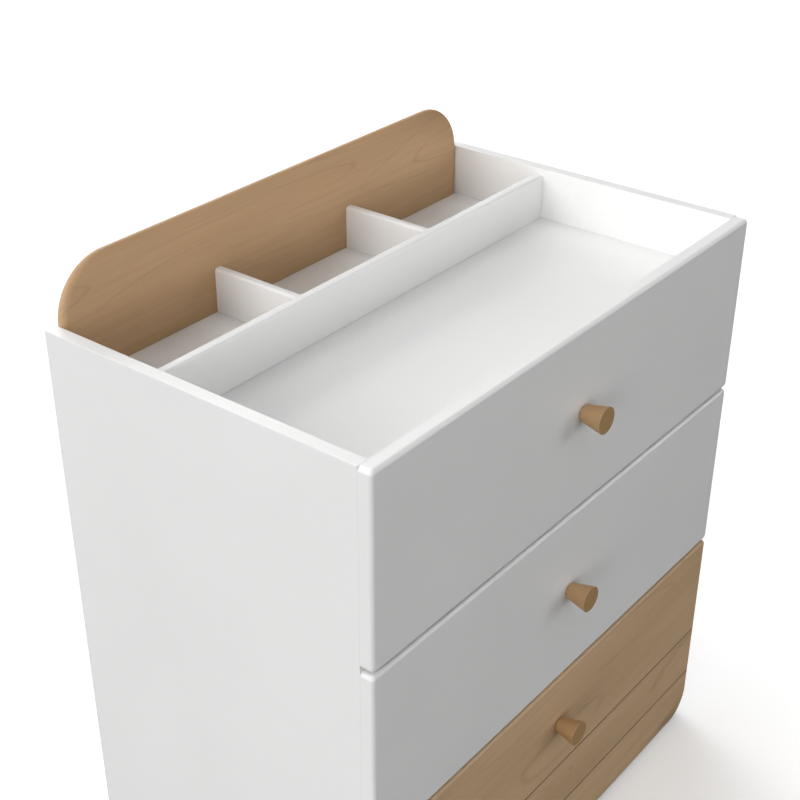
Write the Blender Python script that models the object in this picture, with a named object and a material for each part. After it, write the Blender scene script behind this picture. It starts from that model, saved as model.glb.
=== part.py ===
"""Changing table: a chest of three drawers whose top is a tray for a changing mat.

Metres, +Z up. The origin is on the floor, under the middle of the whole object, knobs included.
+X is the right-hand side seen from the front, and the drawers open towards -Y.
"""

import math

import bmesh
import bpy
from mathutils import Matrix, Vector

# Overall sizes.
WIDTH = 0.900  # across the outer faces of the side panels
DEPTH = 0.546  # from the face of the drawer fronts to the back edges of the side panels
SIDE_TOP = 0.982  # top edge of the side panels above the floor
CLEARANCE = 0.0003  # between pieces that touch

# Carcass boards.
SIDE_THICKNESS = 0.019
SIDE_EDGE_RADIUS = 0.001
TRAY_DEPTH = 0.0845  # from the side panels' top edge down to the tray floor
TRAY_FLOOR_THICKNESS = 0.016
BOTTOM_THICKNESS = 0.016
BOTTOM_UNDERSIDE = 0.035
RAIL_THICKNESS = 0.018
RAIL_DEPTH = 0.070
PLINTH_THICKNESS = 0.016
PLINTH_SETBACK = 0.045
PLINTH_FLOOR_GAP = 0.006
BACK_PANEL_THICKNESS = 0.004
BACK_PANEL_INSET = 0.012  # from the side panels' back edges to the back panel's rear face
BACK_GROOVE_DEPTH = 0.008

# Dividers and backboard of the tray.
LONG_DIVIDER_FACE = 0.3545  # from the drawer fronts' face to the long divider's front face
LONG_DIVIDER_THICKNESS = 0.0175
LONG_DIVIDER_DROP = 0.010  # from the side panels' top edge down to the long divider's
SHORT_DIVIDER_THICKNESS = 0.015
SHORT_DIVIDER_DROP = 0.015  # from the side panels' top edge down to the short dividers'
COMPARTMENTS = 3
DIVIDER_EDGE_RADIUS = 0.0045
DIVIDER_HOUSING_DEPTH = 0.003  # of the groove in the tray floor that the long divider stands in
BACKBOARD_THICKNESS = 0.015
BACKBOARD_INSET = 0.001  # from the side panels' back edges to the backboard's rear face
BACKBOARD_RISE = 0.082  # above the side panels' top edge
BACKBOARD_END_GAP = 0.0005
BACKBOARD_CORNER_RADIUS = 0.084
BACKBOARD_EDGE_RADIUS = 0.0085
BACKBOARD_REAR_EDGE_RADIUS = 0.005

# Drawer fronts, from the top down. The bottom one fills what is left above the floor.
TOP_FRONT_HEIGHT = 0.288
MIDDLE_FRONT_HEIGHT = 0.2925
FRONT_GAP = 0.005
FRONT_FLOOR_GAP = 0.0105
FRONT_THICKNESS = 0.020
FRONT_CORNER_RADIUS = 0.0075
FRONT_EDGE_RADIUS = 0.0055
FRONT_BACK_EDGE_RADIUS = 0.001
FRONT_REST_GAP = 0.0004  # behind a closed front
BOTTOM_FRONT_CORNER_RADIUS = 0.054
FIRST_PLANK_HEIGHT = 0.1905  # from the bottom front's top edge to its first V-groove
PLANK_PITCH = 0.0960
V_GROOVE_WIDTH = 0.003
V_GROOVE_DEPTH = 0.0022

# Knobs and their screws.
KNOB_LENGTH = 0.036
KNOB_BASE_RADIUS = 0.0122
KNOB_FACE_RADIUS = 0.0200
KNOB_BASE_ROUNDING = 0.003
KNOB_FACE_ROUNDING = 0.0005
KNOB_BORE_DEPTH = 0.016
KNOB_DROPS = (0.131, 0.136, 0.0955)  # from each front's top edge down to its knob
SCREW_SHANK_RADIUS = 0.002
SCREW_HEAD_RADIUS = 0.005
SCREW_HEAD_HEIGHT = 0.0022
SCREW_INTO_KNOB = 0.014
SCREW_HOLE_CLEARANCE = 0.0004

# Drawer boxes.
BOX_SIDE_THICKNESS = 0.012
BOX_BACK_THICKNESS = 0.012
BOX_BOTTOM_THICKNESS = 0.004
BOX_BOTTOM_HEIGHT = 0.010  # from a box side's lower edge to the drawer bottom
BOX_GROOVE_DEPTH = 0.006
BOX_CLEARANCE_BELOW = 0.006
BOX_CLEARANCE_ABOVE = 0.022
BOX_CLEARANCE_BEHIND = 0.060
BOX_EDGE_RADIUS = 0.001

# Ball-bearing slides: a cabinet member, an intermediate member and a drawer member.
SLIDE_SPACE = 0.0127  # between a side panel and a drawer box
SLIDE_SHEET = 0.0012
SLIDE_RUNNING_GAP = 0.0006
SLIDE_CENTRE_HEIGHT = 0.050  # above a box side's lower edge
SLIDE_SETBACK = 0.003  # behind the side panel's front edge
CABINET_MEMBER_HEIGHT = 0.045
INTERMEDIATE_MEMBER_HEIGHT = 0.031
DRAWER_MEMBER_HEIGHT = 0.019
CABINET_MEMBER_DEPTH = 0.0090

# Glides under the side panels.
GLIDE_RADIUS = 0.008
GLIDE_HEIGHT = 0.004
GLIDE_PIN_RADIUS = 0.0015
GLIDE_PIN_LENGTH = 0.012
GLIDE_INSET = 0.040  # from the side panel's front and back edges

# Plate let into the back of the backboard, for the wall strap that keeps the chest from tipping.
ANCHOR_WIDTH = 0.070
ANCHOR_HEIGHT = 0.025
ANCHOR_THICKNESS = 0.0020
ANCHOR_DROP = 0.050  # from the side panels' top edge down to the plate's middle
ANCHOR_SCREW_SPREAD = 0.050
ANCHOR_SCREW_RADIUS = 0.0018
ANCHOR_SCREW_LENGTH = 0.013
ANCHOR_HEAD_RADIUS = 0.0035

# Fineness of round shapes.
SMALL_CORNER_STEPS = 3
LARGE_CORNER_STEPS = 9
EDGE_STEPS = 3
TURNING_STEPS = 24
SMALL_TURNING_STEPS = 12

# Places worked out from the sizes above.
FRONT_FACE = -(DEPTH - KNOB_LENGTH - CLEARANCE) / 2
REAR_EDGE = FRONT_FACE + DEPTH
FRONT_REAR = FRONT_FACE + FRONT_THICKNESS
CARCASS_FRONT = FRONT_REAR + FRONT_REST_GAP
INNER_HALF_WIDTH = WIDTH / 2 - SIDE_THICKNESS
BACK_PANEL_REAR = REAR_EDGE - BACK_PANEL_INSET
BACK_PANEL_FRONT = BACK_PANEL_REAR - BACK_PANEL_THICKNESS
TRAY_FLOOR_TOP = SIDE_TOP - TRAY_DEPTH
TRAY_FLOOR_UNDERSIDE = TRAY_FLOOR_TOP - TRAY_FLOOR_THICKNESS
BOTTOM_TOP = BOTTOM_UNDERSIDE + BOTTOM_THICKNESS
TOP_FRONT_LOW = SIDE_TOP - TOP_FRONT_HEIGHT
MIDDLE_FRONT_TOP = TOP_FRONT_LOW - FRONT_GAP
MIDDLE_FRONT_LOW = MIDDLE_FRONT_TOP - MIDDLE_FRONT_HEIGHT
BOTTOM_FRONT_TOP = MIDDLE_FRONT_LOW - FRONT_GAP
UPPER_RAIL_MIDDLE = TOP_FRONT_LOW - FRONT_GAP / 2
LOWER_RAIL_MIDDLE = MIDDLE_FRONT_LOW - FRONT_GAP / 2
LONG_DIVIDER_FRONT = FRONT_FACE + LONG_DIVIDER_FACE
LONG_DIVIDER_REAR = LONG_DIVIDER_FRONT + LONG_DIVIDER_THICKNESS
BACKBOARD_REAR = REAR_EDGE - BACKBOARD_INSET
BACKBOARD_FRONT = BACKBOARD_REAR - BACKBOARD_THICKNESS
BOX_HALF_WIDTH = INNER_HALF_WIDTH - SLIDE_SPACE
BOX_FRONT = FRONT_REAR + CLEARANCE
BOX_REAR = BACK_PANEL_FRONT - BOX_CLEARANCE_BEHIND
SLIDE_FRONT = CARCASS_FRONT + SLIDE_SETBACK


def clear_scene():
    for existing in list(bpy.data.objects):
        bpy.data.objects.remove(existing, do_unlink=True)


def finish(name, colour, roughness, metallic=0.0):
    """A material with one Principled surface."""
    material = bpy.data.materials.new(name)
    material.use_nodes = True
    surface = material.node_tree.nodes["Principled BSDF"]
    surface.inputs["Base Color"].default_value = (*colour, 1.0)
    surface.inputs["Roughness"].default_value = roughness
    surface.inputs["Metallic"].default_value = metallic
    return material


def empty_at(name, place):
    """An empty that carries the pieces of one moving group."""
    marker = bpy.data.objects.new(name, None)
    marker.empty_display_size = 0.05
    marker.location = place
    bpy.context.scene.collection.objects.link(marker)
    return marker


def make_object(name, shape, material, place, carrier=None):
    """Turns a bmesh into a named object at a world place, riding on its carrier."""
    mesh = bpy.data.meshes.new(name)
    shape.to_mesh(mesh)
    shape.free()
    piece = bpy.data.objects.new(name, mesh)
    bpy.context.scene.collection.objects.link(piece)
    piece.parent = carrier
    piece.location = Vector(place) - (carrier.location if carrier else Vector())
    if material:
        mesh.materials.append(material)
    return piece


def make_cutter(name, shape, place, carrier=None):
    """A shape that only cuts others."""
    cutter = make_object(name, shape, None, place, carrier)
    cutter.hide_render = True
    cutter.display_type = "WIRE"
    return cutter


def cut(piece, cutter):
    """Cuts the cutter's shape out of the piece."""
    modifier = piece.modifiers.new("cut_" + cutter.name, "BOOLEAN")
    modifier.operation = "DIFFERENCE"
    modifier.solver = "EXACT"
    modifier.object = cutter


def block(low, high):
    """A plain block around its own middle, and the place of that middle."""
    low = Vector(low)
    high = Vector(high)
    shape = bmesh.new()
    bmesh.ops.create_cube(shape, size=1.0)
    bmesh.ops.scale(shape, vec=high - low, verts=shape.verts)
    return shape, (low + high) / 2


def round_edges(shape, edges, radius, steps):
    bmesh.ops.bevel(
        shape, geom=edges, offset=radius, segments=steps, profile=0.5, affect="EDGES", clamp_overlap=True
    )


def board(name, low, high, material, carrier=None, radius=BOX_EDGE_RADIUS):
    """A rectangular board with every edge eased."""
    shape, middle = block(low, high)
    round_edges(shape, shape.edges[:], radius, 1)
    return make_object(name, shape, material, middle, carrier)


def board_with_round_top(name, low, high, material, radius):
    """A board whose top edges are rounded over and whose other edges stay square."""
    shape, middle = block(low, high)
    top = max(vertex.co.z for vertex in shape.verts)
    edges = [edge for edge in shape.edges if all(vertex.co.z == top for vertex in edge.verts)]
    round_edges(shape, edges, radius, EDGE_STEPS)
    return make_object(name, shape, material, middle)


def outline(half_width, low, high, low_radius, low_steps, high_radius, high_steps):
    """A rectangle in X and Z with an arc in each corner. A radius of 0 leaves a corner square."""
    corners = (
        (half_width, low, low_radius, low_steps, -90),
        (half_width, high, high_radius, high_steps, 0),
        (-half_width, high, high_radius, high_steps, 90),
        (-half_width, low, low_radius, low_steps, 180),
    )
    points = []
    for x, z, radius, steps, start in corners:
        centre_x = x - math.copysign(radius, x)
        centre_z = z - radius if z == high else z + radius
        for step in range(steps + 1 if radius else 1):
            angle = math.radians(start + 90 * step / steps)
            points.append((centre_x + radius * math.cos(angle), centre_z + radius * math.sin(angle)))
    return points


def slab(points, thickness):
    """The outline made into a board that runs from y = 0 back to its thickness."""
    shape = bmesh.new()
    face = shape.faces.new([shape.verts.new((x, 0.0, z)) for x, z in points])
    extruded = bmesh.ops.extrude_face_region(shape, geom=[face])["geom"]
    moved = [item for item in extruded if isinstance(item, bmesh.types.BMVert)]
    bmesh.ops.translate(shape, vec=(0.0, thickness, 0.0), verts=moved)
    bmesh.ops.recalc_face_normals(shape, faces=shape.faces[:])
    return shape


def rim(shape, y, above):
    """The edges of a slab's front or back face, apart from those that lie at its foot."""
    found = []
    for edge in shape.edges:
        ends = [vertex.co for vertex in edge.verts]
        on_face = all(abs(end.y - y) < CLEARANCE / 10 for end in ends)
        if on_face and max(end.z for end in ends) > above:
            found.append(edge)
    return found


def turned(profile, steps):
    """A profile of (radius, height) points turned about Z. Its ends lie on the axis."""
    shape = bmesh.new()
    points = [shape.verts.new((radius, 0.0, height)) for radius, height in profile]
    lines = [shape.edges.new(pair) for pair in zip(points, points[1:])]
    bmesh.ops.spin(
        shape, geom=points + lines, cent=(0, 0, 0), axis=(0, 0, 1), dvec=(0, 0, 0), angle=math.tau,
        steps=steps, use_duplicate=False,
    )
    bmesh.ops.remove_doubles(shape, verts=shape.verts[:], dist=1e-6)
    bmesh.ops.recalc_face_normals(shape, faces=shape.faces[:])
    return shape


def face_front(shape):
    """Turns a shape so that its +Z points towards the front, -Y."""
    bmesh.ops.rotate(shape, cent=(0, 0, 0), matrix=Matrix.Rotation(math.pi / 2, 3, "X"), verts=shape.verts)


def smooth(piece):
    """Shades a turned piece smooth, with its corners crisp."""
    piece.data.shade_smooth()
    piece.data.set_sharp_from_angle(angle=math.radians(40))


def side_panels(white):
    """Both side panels, each with a stopped groove for the back panel and holes for its glides."""
    low_z = GLIDE_HEIGHT + CLEARANCE
    for side, name in ((-1, "left"), (1, "right")):
        inner = side * INNER_HALF_WIDTH
        outer = side * WIDTH / 2
        panel = board(
            "side_panel_" + name,
            (min(inner, outer), CARCASS_FRONT, low_z),
            (max(inner, outer), REAR_EDGE, SIDE_TOP),
            white, radius=SIDE_EDGE_RADIUS,
        )
        groove_end = inner + side * BACK_GROOVE_DEPTH
        groove_mouth = inner - side * BACK_GROOVE_DEPTH
        shape, middle = block(
            (min(groove_end, groove_mouth), BACK_PANEL_FRONT - CLEARANCE, -GLIDE_HEIGHT),
            (max(groove_end, groove_mouth), BACK_PANEL_REAR + CLEARANCE, TRAY_FLOOR_UNDERSIDE),
        )
        cut(panel, make_cutter("back_groove_" + name, shape, middle))
        for end, y in (("front", CARCASS_FRONT + GLIDE_INSET), ("rear", REAR_EDGE - GLIDE_INSET)):
            place = (side * (INNER_HALF_WIDTH + SIDE_THICKNESS / 2), y, 0.0)
            hole = turned(
                [
                    (0.0, 0.0),
                    (GLIDE_PIN_RADIUS + CLEARANCE, 0.0),
                    (GLIDE_PIN_RADIUS + CLEARANCE, GLIDE_HEIGHT + GLIDE_PIN_LENGTH + CLEARANCE),
                    (0.0, GLIDE_HEIGHT + GLIDE_PIN_LENGTH + CLEARANCE),
                ],
                SMALL_TURNING_STEPS,
            )
            cut(panel, make_cutter(f"glide_hole_{name}_{end}", hole, place))


def glides(plastic):
    """Nail-in glides under the corners of the side panels."""
    for side, name in ((-1, "left"), (1, "right")):
        for end, y in (("front", CARCASS_FRONT + GLIDE_INSET), ("rear", REAR_EDGE - GLIDE_INSET)):
            shape = turned(
                [
                    (0.0, 0.0),
                    (GLIDE_RADIUS - GLIDE_HEIGHT / 4, 0.0),
                    (GLIDE_RADIUS, GLIDE_HEIGHT / 4),
                    (GLIDE_RADIUS, GLIDE_HEIGHT),
                    (GLIDE_PIN_RADIUS, GLIDE_HEIGHT),
                    (GLIDE_PIN_RADIUS, GLIDE_HEIGHT + GLIDE_PIN_LENGTH),
                    (0.0, GLIDE_HEIGHT + GLIDE_PIN_LENGTH),
                ],
                SMALL_TURNING_STEPS,
            )
            place = (side * (INNER_HALF_WIDTH + SIDE_THICKNESS / 2), y, 0.0)
            smooth(make_object(f"glide_{name}_{end}", shape, plastic, place))


def carcass_boards(white, hardboard):
    """The boards between the side panels, under the tray floor, and the tray floor itself."""
    reach = INNER_HALF_WIDTH - CLEARANCE
    tray_floor = board(
        "tray_floor",
        (-reach, CARCASS_FRONT, TRAY_FLOOR_UNDERSIDE),
        (reach, BACKBOARD_REAR, TRAY_FLOOR_TOP),
        white,
    )
    shape, middle = block(
        (-WIDTH / 2, LONG_DIVIDER_FRONT - CLEARANCE, TRAY_FLOOR_TOP - DIVIDER_HOUSING_DEPTH),
        (WIDTH / 2, LONG_DIVIDER_REAR + CLEARANCE, TRAY_FLOOR_TOP + DIVIDER_HOUSING_DEPTH),
    )
    cut(tray_floor, make_cutter("divider_housing", shape, middle))
    board(
        "bottom_panel",
        (-reach, CARCASS_FRONT, BOTTOM_UNDERSIDE),
        (reach, BACK_PANEL_FRONT - CLEARANCE, BOTTOM_TOP),
        white,
    )
    for name, middle in (("front_rail_upper", UPPER_RAIL_MIDDLE), ("front_rail_lower", LOWER_RAIL_MIDDLE)):
        board(
            name, (-reach, CARCASS_FRONT, middle - RAIL_THICKNESS / 2),
            (reach, CARCASS_FRONT + RAIL_DEPTH, middle + RAIL_THICKNESS / 2), white,
        )
    plinth_front = CARCASS_FRONT + PLINTH_SETBACK
    board(
        "plinth", (-reach, plinth_front, PLINTH_FLOOR_GAP),
        (reach, plinth_front + PLINTH_THICKNESS, BOTTOM_UNDERSIDE - CLEARANCE), white,
    )
    in_groove = INNER_HALF_WIDTH + BACK_GROOVE_DEPTH - CLEARANCE
    shape, middle = block(
        (-in_groove, BACK_PANEL_FRONT, BOTTOM_UNDERSIDE),
        (in_groove, BACK_PANEL_REAR, TRAY_FLOOR_UNDERSIDE - CLEARANCE),
    )
    make_object("back_panel", shape, hardboard, middle)


def dividers(white):
    """One long divider across the tray, and short ones that part the space behind it."""
    reach = INNER_HALF_WIDTH - CLEARANCE
    board_with_round_top(
        "long_divider",
        (-reach, LONG_DIVIDER_FRONT, TRAY_FLOOR_TOP - DIVIDER_HOUSING_DEPTH + CLEARANCE),
        (reach, LONG_DIVIDER_REAR, SIDE_TOP - LONG_DIVIDER_DROP),
        white,
        DIVIDER_EDGE_RADIUS,
    )
    walls = COMPARTMENTS - 1
    space = (2 * INNER_HALF_WIDTH - walls * SHORT_DIVIDER_THICKNESS) / COMPARTMENTS
    names = ("left", "right") if walls == 2 else [str(number + 1) for number in range(walls)]
    for number, name in enumerate(names):
        left = -INNER_HALF_WIDTH + space + number * (space + SHORT_DIVIDER_THICKNESS)
        board_with_round_top(
            "short_divider_" + name,
            (left, LONG_DIVIDER_REAR + CLEARANCE, TRAY_FLOOR_TOP + CLEARANCE),
            (left + SHORT_DIVIDER_THICKNESS, BACKBOARD_FRONT - CLEARANCE, SIDE_TOP - SHORT_DIVIDER_DROP),
            white,
            DIVIDER_EDGE_RADIUS,
        )


def backboard(oak):
    """The oak board that stands on the tray floor at the back, with large round upper corners."""
    low = TRAY_FLOOR_TOP + CLEARANCE
    high = SIDE_TOP + BACKBOARD_RISE
    points = outline(
        INNER_HALF_WIDTH - BACKBOARD_END_GAP, low, high, 0.0, 1, BACKBOARD_CORNER_RADIUS, LARGE_CORNER_STEPS
    )
    shape = slab(points, BACKBOARD_THICKNESS)
    round_edges(shape, rim(shape, 0.0, low + CLEARANCE), BACKBOARD_EDGE_RADIUS, EDGE_STEPS)
    rear_edges = rim(shape, BACKBOARD_THICKNESS, low + CLEARANCE)
    round_edges(shape, rear_edges, BACKBOARD_REAR_EDGE_RADIUS, EDGE_STEPS)
    board_object = make_object("backboard", shape, oak, (0.0, BACKBOARD_FRONT, 0.0))
    shape, middle = anchor_block(CLEARANCE, BACKBOARD_INSET + CLEARANCE)
    cut(board_object, make_cutter("anchor_pocket", shape, middle))
    for name, x in anchor_screw_places():
        cut(board_object, anchor_hole("backboard_hole_" + name, x))


def anchor_block(spare, behind):
    """The anchor plate's block, let in flush with the backboard, with spare room round and behind it."""
    middle = SIDE_TOP - ANCHOR_DROP
    half_width = ANCHOR_WIDTH / 2 + spare
    half_height = ANCHOR_HEIGHT / 2 + spare
    return block(
        (-half_width, BACKBOARD_REAR - ANCHOR_THICKNESS - spare, middle - half_height),
        (half_width, BACKBOARD_REAR + behind, middle + half_height),
    )


def anchor_screw_places():
    return (("left", -ANCHOR_SCREW_SPREAD / 2), ("right", ANCHOR_SCREW_SPREAD / 2))


def countersunk(spare):
    """A countersunk screw with its head at the foot, or the hole for it with some spare room all round."""
    head = ANCHOR_HEAD_RADIUS + spare
    shank = ANCHOR_SCREW_RADIUS + spare
    tip = ANCHOR_SCREW_LENGTH + spare
    return [(head, 0.0), (shank, head - shank), (shank, tip), (0.0, tip)]


def anchor_hole(name, x):
    """The hole for an anchor screw, open behind the plate."""
    behind = -ANCHOR_THICKNESS
    wall = countersunk(CLEARANCE)
    shape = turned([(0.0, behind), (wall[0][0], behind)] + wall, SMALL_TURNING_STEPS)
    face_front(shape)
    return make_cutter(name, shape, (x, BACKBOARD_REAR, SIDE_TOP - ANCHOR_DROP))


def wall_anchor(steel):
    """The plate that takes a wall strap, and its two screws."""
    shape, middle = anchor_block(0.0, 0.0)
    plate = make_object("wall_anchor_plate", shape, steel, middle)
    for name, x in anchor_screw_places():
        cut(plate, anchor_hole("plate_hole_" + name, x))
        screw = turned([(0.0, 0.0)] + countersunk(0.0), SMALL_TURNING_STEPS)
        face_front(screw)
        place = (x, BACKBOARD_REAR, SIDE_TOP - ANCHOR_DROP)
        smooth(make_object("wall_anchor_screw_" + name, screw, steel, place))


def knob_profile():
    """The knob's half outline from its bore round to its outer face, base at height 0."""
    bore = SCREW_SHANK_RADIUS + SCREW_HOLE_CLEARANCE
    slope = (KNOB_FACE_RADIUS - KNOB_BASE_RADIUS) / KNOB_LENGTH
    points = [(0.0, KNOB_BORE_DEPTH), (bore, KNOB_BORE_DEPTH), (bore, 0.0)]
    for step in range(EDGE_STEPS + 1):
        angle = math.radians(90 * step / EDGE_STEPS)
        height = KNOB_BASE_ROUNDING * (1 - math.cos(angle))
        radius = KNOB_BASE_RADIUS - KNOB_BASE_ROUNDING * (1 - math.sin(angle)) + slope * height
        points.append((radius, height))
    points.append((KNOB_FACE_RADIUS, KNOB_LENGTH - KNOB_FACE_ROUNDING))
    points.append((KNOB_FACE_RADIUS - KNOB_FACE_ROUNDING, KNOB_LENGTH))
    points.append((0.0, KNOB_LENGTH))
    return points


def knob_and_screw(prefix, front, height, oak, steel, carrier):
    """The turned knob, the screw that holds it from behind, and the screw's hole in the front."""
    knob = turned(knob_profile(), TURNING_STEPS)
    face_front(knob)
    smooth(make_object(prefix + "_knob", knob, oak, (0.0, FRONT_FACE - CLEARANCE, height), carrier))

    tip = SCREW_HEAD_HEIGHT + FRONT_THICKNESS + SCREW_INTO_KNOB + 2 * CLEARANCE
    screw = turned(
        [
            (0.0, 0.0),
            (SCREW_HEAD_RADIUS / 2, 0.0),
            (SCREW_HEAD_RADIUS, SCREW_HEAD_HEIGHT / 2),
            (SCREW_HEAD_RADIUS, SCREW_HEAD_HEIGHT),
            (SCREW_SHANK_RADIUS, SCREW_HEAD_HEIGHT),
            (SCREW_SHANK_RADIUS, tip),
            (0.0, tip),
        ],
        SMALL_TURNING_STEPS,
    )
    face_front(screw)
    place = (0.0, FRONT_REAR + CLEARANCE + SCREW_HEAD_HEIGHT, height)
    smooth(make_object(prefix + "_knob_screw", screw, steel, place, carrier))

    radius = SCREW_SHANK_RADIUS + SCREW_HOLE_CLEARANCE
    length = 2 * FRONT_THICKNESS
    hole = turned([(0.0, 0.0), (radius, 0.0), (radius, length), (0.0, length)], SMALL_TURNING_STEPS)
    face_front(hole)
    place = (0.0, FRONT_REAR + FRONT_THICKNESS / 2, height)
    cut(front, make_cutter(prefix + "_knob_hole", hole, place, carrier))


def drawer_front(prefix, low, high, low_radius, low_steps, material, carrier):
    """A front that covers the carcass edge, with all its edges rounded over."""
    points = outline(WIDTH / 2, low, high, low_radius, low_steps, FRONT_CORNER_RADIUS, SMALL_CORNER_STEPS)
    shape = slab(points, FRONT_THICKNESS)
    round_edges(shape, rim(shape, 0.0, low - FRONT_GAP), FRONT_EDGE_RADIUS, EDGE_STEPS)
    round_edges(shape, rim(shape, FRONT_THICKNESS, low - FRONT_GAP), FRONT_BACK_EDGE_RADIUS, 1)
    return make_object(prefix + "_front", shape, material, (0.0, FRONT_FACE, 0.0), carrier)


def cut_v_grooves(prefix, front, high, carrier):
    """Two level V-grooves that make the front look like planks."""
    reach = WIDTH / 2 + SIDE_THICKNESS
    for number, drop in enumerate((FIRST_PLANK_HEIGHT, FIRST_PLANK_HEIGHT + PLANK_PITCH)):
        shape = bmesh.new()
        wedge = ((-V_GROOVE_DEPTH, V_GROOVE_WIDTH), (-V_GROOVE_DEPTH, -V_GROOVE_WIDTH), (V_GROOVE_DEPTH, 0.0))
        face = shape.faces.new([shape.verts.new((-reach, y, z)) for y, z in wedge])
        extruded = bmesh.ops.extrude_face_region(shape, geom=[face])["geom"]
        moved = [item for item in extruded if isinstance(item, bmesh.types.BMVert)]
        bmesh.ops.translate(shape, vec=(2 * reach, 0.0, 0.0), verts=moved)
        bmesh.ops.recalc_face_normals(shape, faces=shape.faces[:])
        place = (0.0, FRONT_FACE, high - drop)
        cut(front, make_cutter(f"{prefix}_v_groove_{number + 1}", shape, place, carrier))


def drawer_box(prefix, front, low, high, white, hardboard, carrier):
    """Two sides and a back, with a bottom held in grooves in the sides and in the front."""
    groove_low = low + BOX_BOTTOM_HEIGHT - CLEARANCE
    groove_high = low + BOX_BOTTOM_HEIGHT + BOX_BOTTOM_THICKNESS + CLEARANCE
    inside = BOX_HALF_WIDTH - BOX_SIDE_THICKNESS
    for side, name in ((-1, "left"), (1, "right")):
        points = [
            (side * inside, low),
            (side * BOX_HALF_WIDTH, low),
            (side * BOX_HALF_WIDTH, high),
            (side * inside, high),
            (side * inside, groove_high),
            (side * (inside + BOX_GROOVE_DEPTH), groove_high),
            (side * (inside + BOX_GROOVE_DEPTH), groove_low),
            (side * inside, groove_low),
        ]
        shape = slab(points, BOX_REAR - BOX_FRONT)
        make_object(f"{prefix}_side_{name}", shape, white, (0.0, BOX_FRONT, 0.0), carrier)

    in_groove = inside + BOX_GROOVE_DEPTH - CLEARANCE
    shape, middle = block(
        (-in_groove, FRONT_REAR - BOX_GROOVE_DEPTH + CLEARANCE, groove_low + CLEARANCE),
        (in_groove, BOX_REAR, groove_high - CLEARANCE),
    )
    make_object(prefix + "_bottom", shape, hardboard, middle, carrier)
    shape, middle = block(
        (-in_groove - CLEARANCE, FRONT_REAR - BOX_GROOVE_DEPTH, groove_low),
        (in_groove + CLEARANCE, FRONT_REAR + BOX_GROOVE_DEPTH, groove_high),
    )
    cut(front, make_cutter(prefix + "_bottom_groove", shape, middle, carrier))

    reach = inside - CLEARANCE
    board(
        prefix + "_back",
        (-reach, BOX_REAR - BOX_BACK_THICKNESS, groove_high),
        (reach, BOX_REAR, high),
        white,
        carrier,
    )


def channel(web_from, lip_at, half_height):
    """A channel's section: distance from the side panel, and height from the slide's middle."""
    inner_web = web_from + math.copysign(SLIDE_SHEET, lip_at - web_from)
    inner_height = half_height - SLIDE_SHEET
    return [
        (web_from, -half_height),
        (lip_at, -half_height),
        (lip_at, -inner_height),
        (inner_web, -inner_height),
        (inner_web, inner_height),
        (lip_at, inner_height),
        (lip_at, half_height),
        (web_from, half_height),
    ]


def slides(prefix, height, steel, drawer_carrier):
    """The three nested members of the slide on each side of a drawer."""
    intermediate_web = CLEARANCE + SLIDE_SHEET + SLIDE_RUNNING_GAP
    drawer_web = SLIDE_SPACE - CLEARANCE
    intermediate_lip = drawer_web - SLIDE_SHEET - SLIDE_RUNNING_GAP
    drawer_lip = intermediate_web + SLIDE_SHEET + SLIDE_RUNNING_GAP
    for side, name in ((-1, "left"), (1, "right")):
        x = side * (INNER_HALF_WIDTH - SLIDE_SPACE / 2)
        runner = empty_at(f"{prefix}_runner_{name}", (x, SLIDE_FRONT, height))
        members = (
            ("slide_cabinet", channel(CLEARANCE, CABINET_MEMBER_DEPTH, CABINET_MEMBER_HEIGHT / 2), None),
            (
                "slide_middle",
                channel(intermediate_web, intermediate_lip, INTERMEDIATE_MEMBER_HEIGHT / 2),
                runner,
            ),
            ("slide_drawer", channel(drawer_web, drawer_lip, DRAWER_MEMBER_HEIGHT / 2), drawer_carrier),
        )
        for member, section, carrier in members:
            points = [(side * (INNER_HALF_WIDTH - across), up) for across, up in section]
            shape = slab(points, BOX_REAR - SLIDE_FRONT)
            make_object(f"{prefix}_{member}_{name}", shape, steel, (0.0, SLIDE_FRONT, height), carrier)


def drawer(prefix, low, high, floor, ceiling, corner, knob_drop, finishes):
    """A whole drawer: its front from low to high, and its box between the boards below and above it."""
    low_radius, low_steps = corner
    box_low = floor + BOX_CLEARANCE_BELOW
    box_high = ceiling - BOX_CLEARANCE_ABOVE
    slide_height = box_low + SLIDE_CENTRE_HEIGHT
    carrier = empty_at(prefix, (0.0, FRONT_REAR, slide_height))
    front = drawer_front(prefix, low, high, low_radius, low_steps, finishes["front"], carrier)
    knob_and_screw(prefix, front, high - knob_drop, finishes["oak"], finishes["steel"], carrier)
    drawer_box(prefix, front, box_low, box_high, finishes["box"], finishes["hardboard"], carrier)
    slides(prefix, slide_height, finishes["steel"], carrier)
    return front, carrier


clear_scene()

white_lacquer = finish("white_lacquer", (0.88, 0.88, 0.87), 0.42)
oak_wood = finish("oak", (0.47, 0.30, 0.15), 0.55)
box_foil = finish("drawer_box_foil", (0.82, 0.82, 0.80), 0.50)
white_hardboard = finish("white_hardboard", (0.80, 0.80, 0.78), 0.60)
zinc_steel = finish("zinc_steel", (0.62, 0.63, 0.64), 0.35, 1.0)
glide_plastic = finish("glide_plastic", (0.15, 0.15, 0.15), 0.60)

side_panels(white_lacquer)
glides(glide_plastic)
carcass_boards(white_lacquer, white_hardboard)
dividers(white_lacquer)
backboard(oak_wood)
wall_anchor(zinc_steel)

white_drawer = {
    "front": white_lacquer,
    "oak": oak_wood,
    "box": box_foil,
    "hardboard": white_hardboard,
    "steel": zinc_steel,
}
oak_drawer = dict(white_drawer, front=oak_wood)
small_corner = (FRONT_CORNER_RADIUS, SMALL_CORNER_STEPS)
large_corner = (BOTTOM_FRONT_CORNER_RADIUS, LARGE_CORNER_STEPS)
half_rail = RAIL_THICKNESS / 2

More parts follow.
